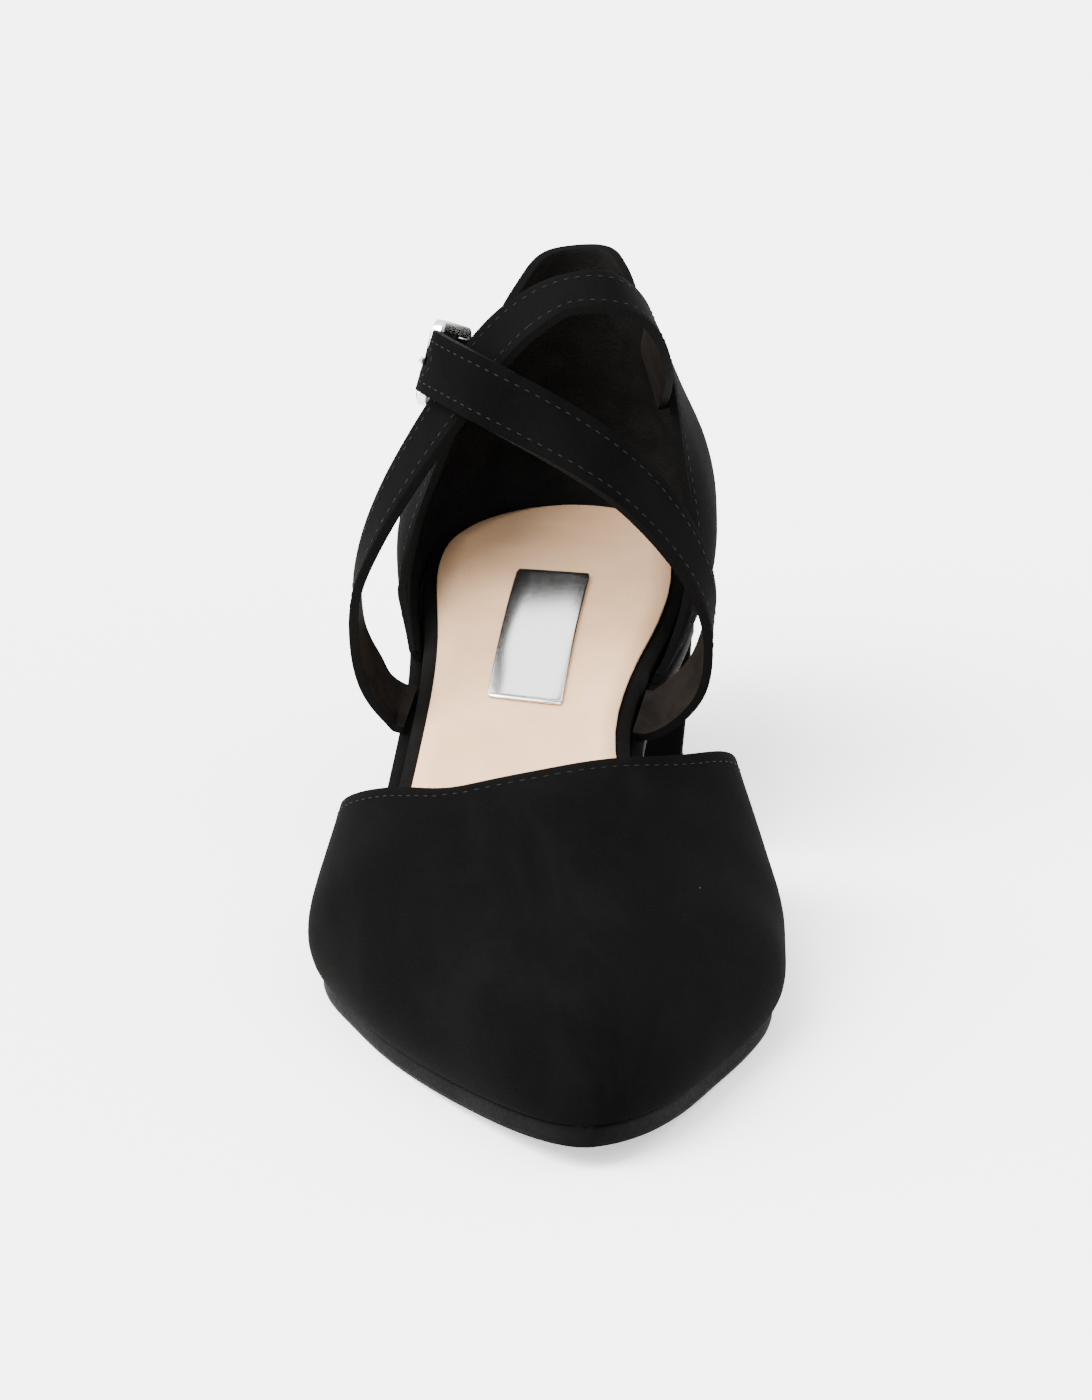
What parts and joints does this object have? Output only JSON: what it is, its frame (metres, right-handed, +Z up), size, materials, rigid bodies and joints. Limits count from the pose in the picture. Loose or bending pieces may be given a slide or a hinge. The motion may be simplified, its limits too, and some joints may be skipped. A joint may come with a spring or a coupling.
{
  "type": "ankle-strap court shoe",
  "caption": "Closed-toe ankle-strap court shoe for the right foot, with open waists, crossing straps, a side buckle and a covered block heel.",
  "frame": {"origin": "on the floor, on the underside of the top piece, on the line from the heel's back to the toe's tip", "axes": "+Z up from the floor, -Y from the heel to the toe, +X to the inner side of the right foot"},
  "size_m": [0.0865, 0.2441, 0.1109],
  "materials": {
    "vamp_suede": "suede nap",
    "quarter_suede": "suede nap",
    "strap_suede": "suede nap",
    "heel_suede": "suede nap",
    "insole_suede": "suede nap",
    "sock_leather": "smooth, satin",
    "plate_metal": "polished",
    "buckle_metal": "polished",
    "sole_rubber": "satin",
    "top_piece_rubber": "matt"
  },
  "bodies": {
    "root": {"outsole": "sole_rubber", "heel": "heel_suede", "top_piece": "top_piece_rubber", "insole": "insole_suede", "sock": "sock_leather", "sock_plate": "plate_metal", "vamp": "vamp_suede", "quarter": "quarter_suede", "ankle_strap": "strap_suede", "front_strap": "strap_suede", "buckle_tab": "strap_suede", "buckle": "buckle_metal", "prong": "buckle_metal", "keeper": "strap_suede"}
  },
  "joints": []
}
